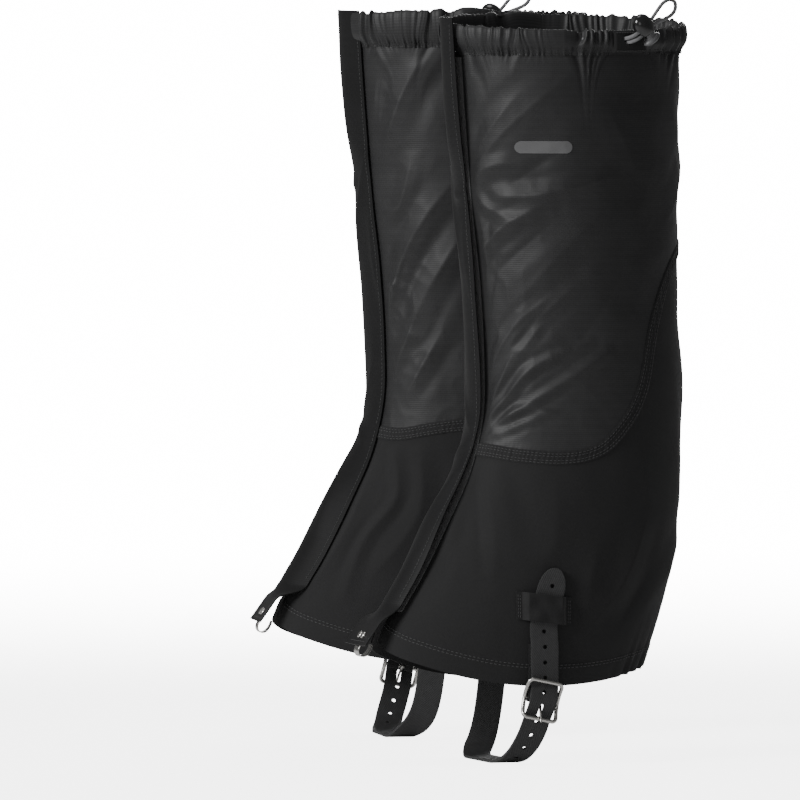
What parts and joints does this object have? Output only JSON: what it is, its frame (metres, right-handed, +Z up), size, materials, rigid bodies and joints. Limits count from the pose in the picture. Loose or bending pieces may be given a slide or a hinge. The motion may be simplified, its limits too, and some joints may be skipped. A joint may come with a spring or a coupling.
{
  "type": "hiking gaiters",
  "caption": "Pair of knee-high fabric gaiters with front flap closure, drawcord top with cord lock, lace hook, and buckled rubber instep strap.",
  "frame": {"origin": "midway between the two gaiters, at the centre of the box without the cord loops, on the plane of the instep straps' undersides", "axes": "+Z up the leg, toes towards -Y, the wearer's left towards +X"},
  "size_m": [0.4028, 0.2239, 0.4945],
  "materials": {
    "upper_nylon": "black coated ripstop nylon with a soft satin sheen",
    "pack_cloth": "matte black heavy pack cloth, fine plain weave",
    "webbing": "black woven webbing and elastic",
    "hook_and_loop": "black hook and loop tape",
    "strap_rubber": "charcoal rubberised strap with fine diagonal ribs",
    "nickel": "nickel-plated wire and rivets, polished",
    "cord_braid": "dark grey braided elastic cord",
    "lock_body": "glossy black moulded plastic",
    "lock_button": "satin dark grey moulded plastic",
    "reflective": "grey heat-applied reflective film"
  },
  "bodies": {
    "gaiter_pair": {"left_upper_shell": "upper_nylon", "left_lower_shell": "pack_cloth", "left_top_casing": "upper_nylon", "left_heel_elastic": "webbing", "left_reflective_mark": "reflective", "left_front_flap_lower": "upper_nylon", "left_hook_strip_lower": "hook_and_loop", "left_loop_strip": "hook_and_loop", "left_instep_strap": "strap_rubber", "left_strap_keeper": "pack_cloth", "left_strap_anchor_patch": "webbing", "left_strap_anchor_rivet": "nickel", "left_buckle_tab": "webbing", "left_drawcord": "cord_braid", "left_cord_loop": "cord_braid", "left_cord_exit_patch": "pack_cloth", "right_upper_shell": "upper_nylon", "right_lower_shell": "pack_cloth", "right_top_casing": "upper_nylon", "right_heel_elastic": "webbing", "right_reflective_mark": "reflective", "right_front_flap_lower": "upper_nylon", "right_hook_strip_lower": "hook_and_loop", "right_loop_strip": "hook_and_loop", "right_instep_strap": "strap_rubber", "right_strap_keeper": "pack_cloth", "right_strap_anchor_patch": "webbing", "right_strap_anchor_rivet": "nickel", "right_buckle_tab": "webbing", "right_drawcord": "cord_braid", "right_cord_loop": "cord_braid", "right_cord_exit_patch": "pack_cloth"},
    "left_flap": {"left_front_flap_upper": "upper_nylon", "left_hook_strip_upper": "hook_and_loop"},
    "left_tab": {"left_flap_tab": "upper_nylon", "left_lace_hook": "nickel", "left_rivet_a": "nickel", "left_rivet_b": "nickel"},
    "left_cord_lock": {"left_cord_lock_body": "lock_body", "left_cord_lock_spring": "nickel"},
    "left_lock_button": {"left_cord_lock_button": "lock_button"},
    "left_buckle": {"left_buckle_frame": "nickel"},
    "left_prong": {"left_buckle_prong": "nickel"},
    "right_flap": {"right_front_flap_upper": "upper_nylon", "right_hook_strip_upper": "hook_and_loop"},
    "right_tab": {"right_flap_tab": "upper_nylon", "right_lace_hook": "nickel", "right_rivet_a": "nickel", "right_rivet_b": "nickel"},
    "right_cord_lock": {"right_cord_lock_body": "lock_body", "right_cord_lock_spring": "nickel"},
    "right_lock_button": {"right_cord_lock_button": "lock_button"},
    "right_buckle": {"right_buckle_frame": "nickel"},
    "right_prong": {"right_buckle_prong": "nickel"}
  },
  "joints": [
    {"name": "left_flap_peel", "type": "hinge", "parent": "gaiter_pair", "child": "left_flap", "pos_m": [0.11138, -0.02864, 0.24995], "axis": [-0.0059, 0.0752, -0.9972], "range_deg": [0, 100]},
    {"name": "left_tab_lift", "type": "hinge", "parent": "gaiter_pair", "child": "left_tab", "pos_m": [0.1362, -0.09477, 0.09889], "axis": [-0.9972, -0.075, 0], "range_deg": [0, 35]},
    {"name": "left_cord_lock_slide", "type": "slide", "parent": "gaiter_pair", "child": "left_cord_lock", "axis": [-0.3008, 0.7283, 0.6157], "range_m": [0, 0.012], "deforming": ["left_cord_loop"]},
    {"name": "left_lock_button_press", "type": "slide", "parent": "left_cord_lock", "child": "left_lock_button", "axis": [0.235, -0.569, 0.788], "range_m": [0, 0.002], "stiffness_N_per_m": 600, "springref_m": -0.002},
    {"name": "left_buckle_rock", "type": "hinge", "parent": "gaiter_pair", "child": "left_buckle", "pos_m": [0.18468, 0.00087, 0.042], "axis": [-0.0733, 0.9754, -0.2079], "range_deg": [-3, 3]},
    {"name": "left_prong_lift", "type": "hinge", "parent": "left_buckle", "child": "left_prong", "pos_m": [0.18468, 0.00087, 0.042], "axis": [0.0733, -0.9754, 0.2079], "range_deg": [0, 12]},
    {"name": "right_flap_peel", "type": "hinge", "parent": "gaiter_pair", "child": "right_flap", "pos_m": [-0.11138, -0.02864, 0.24995], "axis": [-0.0059, -0.0752, 0.9972], "range_deg": [0, 100]},
    {"name": "right_tab_lift", "type": "hinge", "parent": "gaiter_pair", "child": "right_tab", "pos_m": [-0.1362, -0.09477, 0.09889], "axis": [-0.9972, 0.075, 0], "range_deg": [0, 35]},
    {"name": "right_cord_lock_slide", "type": "slide", "parent": "gaiter_pair", "child": "right_cord_lock", "axis": [0.3008, 0.7283, 0.6157], "range_m": [0, 0.012], "deforming": ["right_cord_loop"]},
    {"name": "right_lock_button_press", "type": "slide", "parent": "right_cord_lock", "child": "right_lock_button", "axis": [-0.235, -0.569, 0.788], "range_m": [0, 0.002], "stiffness_N_per_m": 600, "springref_m": -0.002},
    {"name": "right_buckle_rock", "type": "hinge", "parent": "gaiter_pair", "child": "right_buckle", "pos_m": [-0.18468, 0.00087, 0.042], "axis": [-0.0733, -0.9754, 0.2079], "range_deg": [-3, 3]},
    {"name": "right_prong_lift", "type": "hinge", "parent": "right_buckle", "child": "right_prong", "pos_m": [-0.18468, 0.00087, 0.042], "axis": [0.0733, 0.9754, -0.2079], "range_deg": [0, 12]}
  ]
}
